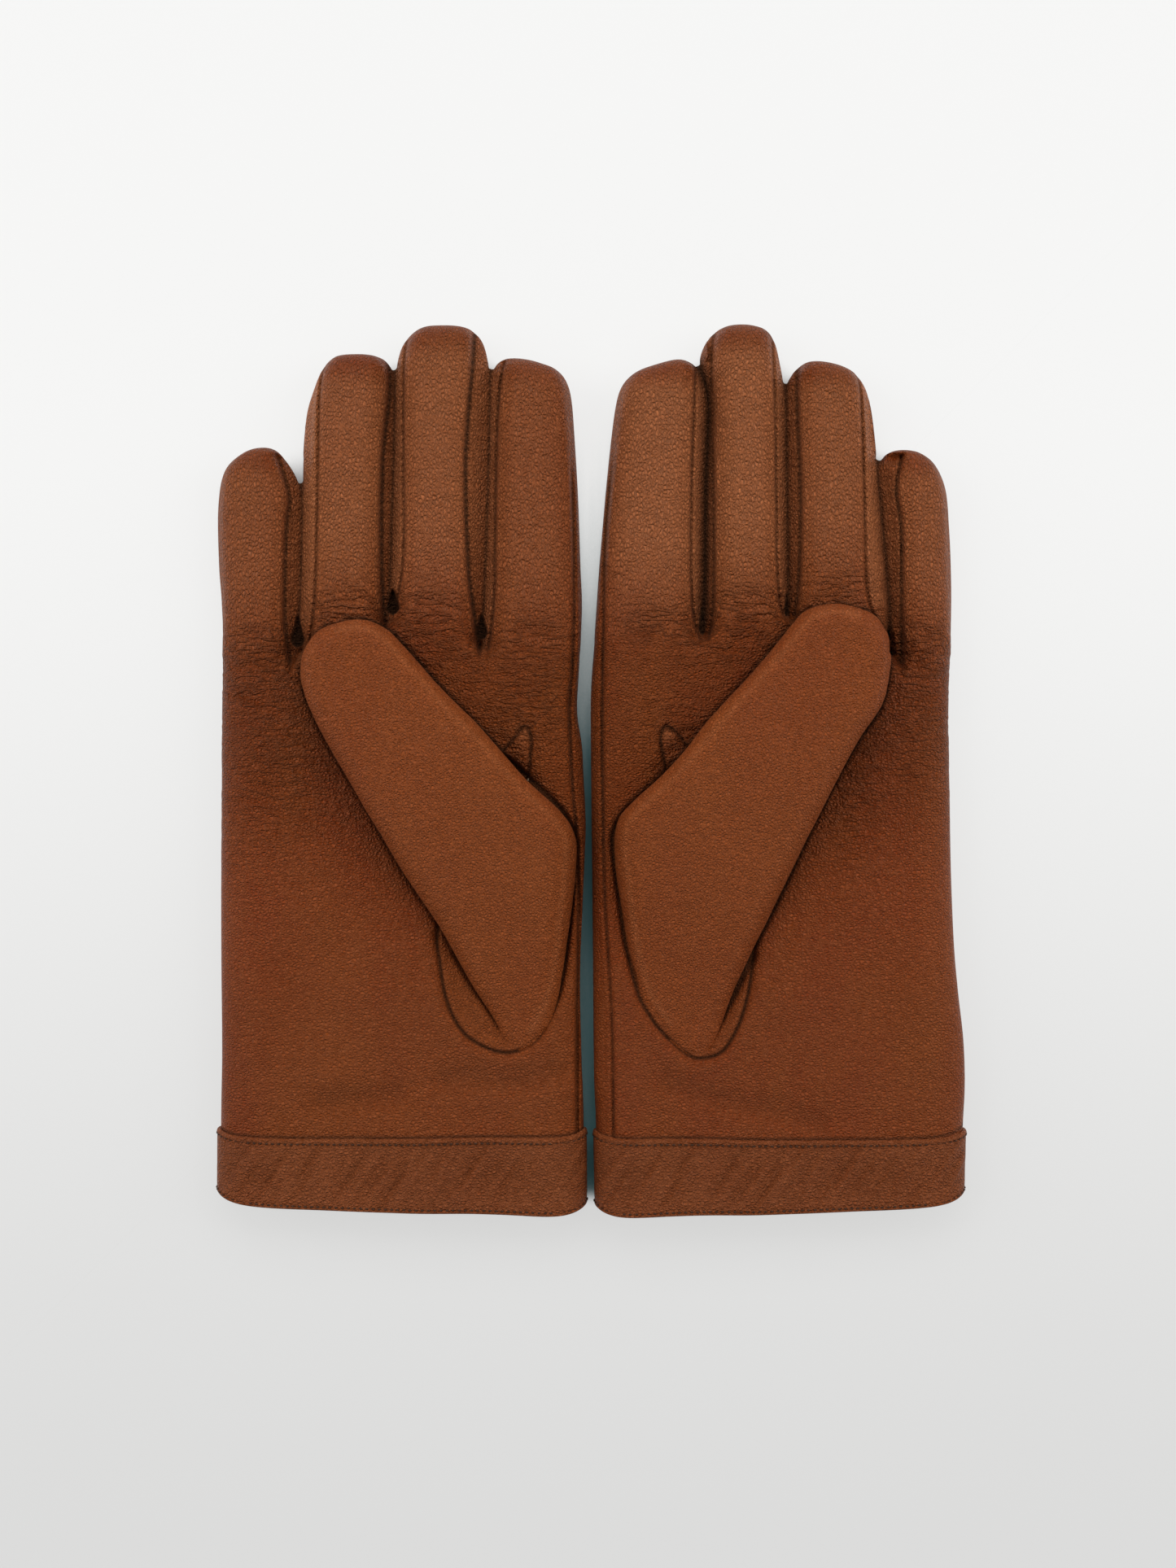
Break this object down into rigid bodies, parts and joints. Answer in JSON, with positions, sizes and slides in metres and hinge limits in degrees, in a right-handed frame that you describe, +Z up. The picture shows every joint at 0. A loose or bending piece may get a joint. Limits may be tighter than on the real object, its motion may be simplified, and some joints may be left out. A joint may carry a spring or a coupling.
{
  "type": "dress gloves",
  "caption": "Pair of unworn leather dress gloves lying palm up, thumbs folded over the palms, with stitched cuff bands and lined stalls.",
  "frame": {"origin": "under the middle of the pair, on the surface the gloves lie on", "axes": "+X across the pair towards the left-hand glove, +Y towards the fingertips, +Z up from the backs to the palms"},
  "size_m": [0.2142, 0.2552, 0.032],
  "materials": {
    "hand_leather": "satin",
    "finger_leather": "satin",
    "back_leather": "satin",
    "fourchette_leather": "satin",
    "thumb_leather": "satin",
    "quirk_leather": "satin",
    "cuff_leather": "satin",
    "lining": "matt knitted",
    "thread": "matt"
  },
  "bodies": {
    "right_hand": {"right_hand_trank": "hand_leather", "right_hand_lining": "lining", "right_thumb_quirk": "quirk_leather", "right_cuff_band": "cuff_leather", "right_cuff_upper_thread": "thread", "right_cuff_hem_thread": "thread"},
    "right_little": {"right_little_strip": "finger_leather", "right_little_fourchette_thumbside": "fourchette_leather", "right_little_lining": "lining"},
    "right_ring": {"right_ring_palm_strip": "finger_leather", "right_ring_back_strip": "back_leather", "right_ring_fourchette_thumbside": "fourchette_leather", "right_ring_fourchette_outer": "fourchette_leather", "right_ring_lining": "lining"},
    "right_middle": {"right_middle_palm_strip": "finger_leather", "right_middle_back_strip": "back_leather", "right_middle_fourchette_thumbside": "fourchette_leather", "right_middle_fourchette_outer": "fourchette_leather", "right_middle_lining": "lining"},
    "right_index": {"right_index_palm_strip": "finger_leather", "right_index_back_strip": "back_leather", "right_index_fourchette_outer": "fourchette_leather", "right_index_lining": "lining"},
    "right_thumb": {"right_thumb_shell": "thumb_leather", "right_thumb_lining": "lining"},
    "left_hand": {"left_hand_trank": "hand_leather", "left_hand_lining": "lining", "left_thumb_quirk": "quirk_leather", "left_cuff_band": "cuff_leather", "left_cuff_upper_thread": "thread", "left_cuff_hem_thread": "thread"},
    "left_little": {"left_little_strip": "finger_leather", "left_little_fourchette_thumbside": "fourchette_leather", "left_little_lining": "lining"},
    "left_ring": {"left_ring_palm_strip": "finger_leather", "left_ring_back_strip": "back_leather", "left_ring_fourchette_thumbside": "fourchette_leather", "left_ring_fourchette_outer": "fourchette_leather", "left_ring_lining": "lining"},
    "left_middle": {"left_middle_palm_strip": "finger_leather", "left_middle_back_strip": "back_leather", "left_middle_fourchette_thumbside": "fourchette_leather", "left_middle_fourchette_outer": "fourchette_leather", "left_middle_lining": "lining"},
    "left_index": {"left_index_palm_strip": "finger_leather", "left_index_back_strip": "back_leather", "left_index_fourchette_outer": "fourchette_leather", "left_index_lining": "lining"},
    "left_thumb": {"left_thumb_shell": "thumb_leather", "left_thumb_lining": "lining"}
  },
  "joints": [
    {"name": "right_index_curl", "type": "hinge", "parent": "right_hand", "child": "right_index", "pos_m": [-0.0184, 0.0373, 0.018], "axis": [1, 0, 0], "range_deg": [0, 80]},
    {"name": "right_middle_curl", "type": "hinge", "parent": "right_hand", "child": "right_middle", "pos_m": [-0.0444, 0.0443, 0.018], "axis": [1, 0, 0], "range_deg": [0, 80]},
    {"name": "right_ring_curl", "type": "hinge", "parent": "right_hand", "child": "right_ring", "pos_m": [-0.0714, 0.0443, 0.018], "axis": [1, 0, 0], "range_deg": [0, 80]},
    {"name": "right_little_curl", "type": "hinge", "parent": "right_hand", "child": "right_little", "pos_m": [-0.0964, 0.0348, 0.018], "axis": [1, 0, 0], "range_deg": [0, 80]},
    {"name": "right_thumb_lift", "type": "hinge", "parent": "right_hand", "child": "right_thumb", "pos_m": [-0.0044, -0.0312, 0.022], "axis": [0, 1, 0], "range_deg": [0, 65]},
    {"name": "left_index_curl", "type": "hinge", "parent": "left_hand", "child": "left_index", "pos_m": [0.0162, 0.0408, 0.018], "axis": [1, 0, 0], "range_deg": [0, 80]},
    {"name": "left_middle_curl", "type": "hinge", "parent": "left_hand", "child": "left_middle", "pos_m": [0.0422, 0.0458, 0.018], "axis": [1, 0, 0], "range_deg": [0, 80]},
    {"name": "left_ring_curl", "type": "hinge", "parent": "left_hand", "child": "left_ring", "pos_m": [0.0692, 0.0488, 0.018], "axis": [1, 0, 0], "range_deg": [0, 80]},
    {"name": "left_little_curl", "type": "hinge", "parent": "left_hand", "child": "left_little", "pos_m": [0.0942, 0.0333, 0.018], "axis": [1, 0, 0], "range_deg": [0, 80]},
    {"name": "left_thumb_lift", "type": "hinge", "parent": "left_hand", "child": "left_thumb", "pos_m": [0.0052, -0.0312, 0.022], "axis": [0, -1, 0], "range_deg": [0, 65]},
    {"name": "left_glove_apart", "type": "slide", "parent": "right_hand", "child": "left_hand", "axis": [1, 0, 0], "range_m": [0, 0.15]}
  ]
}
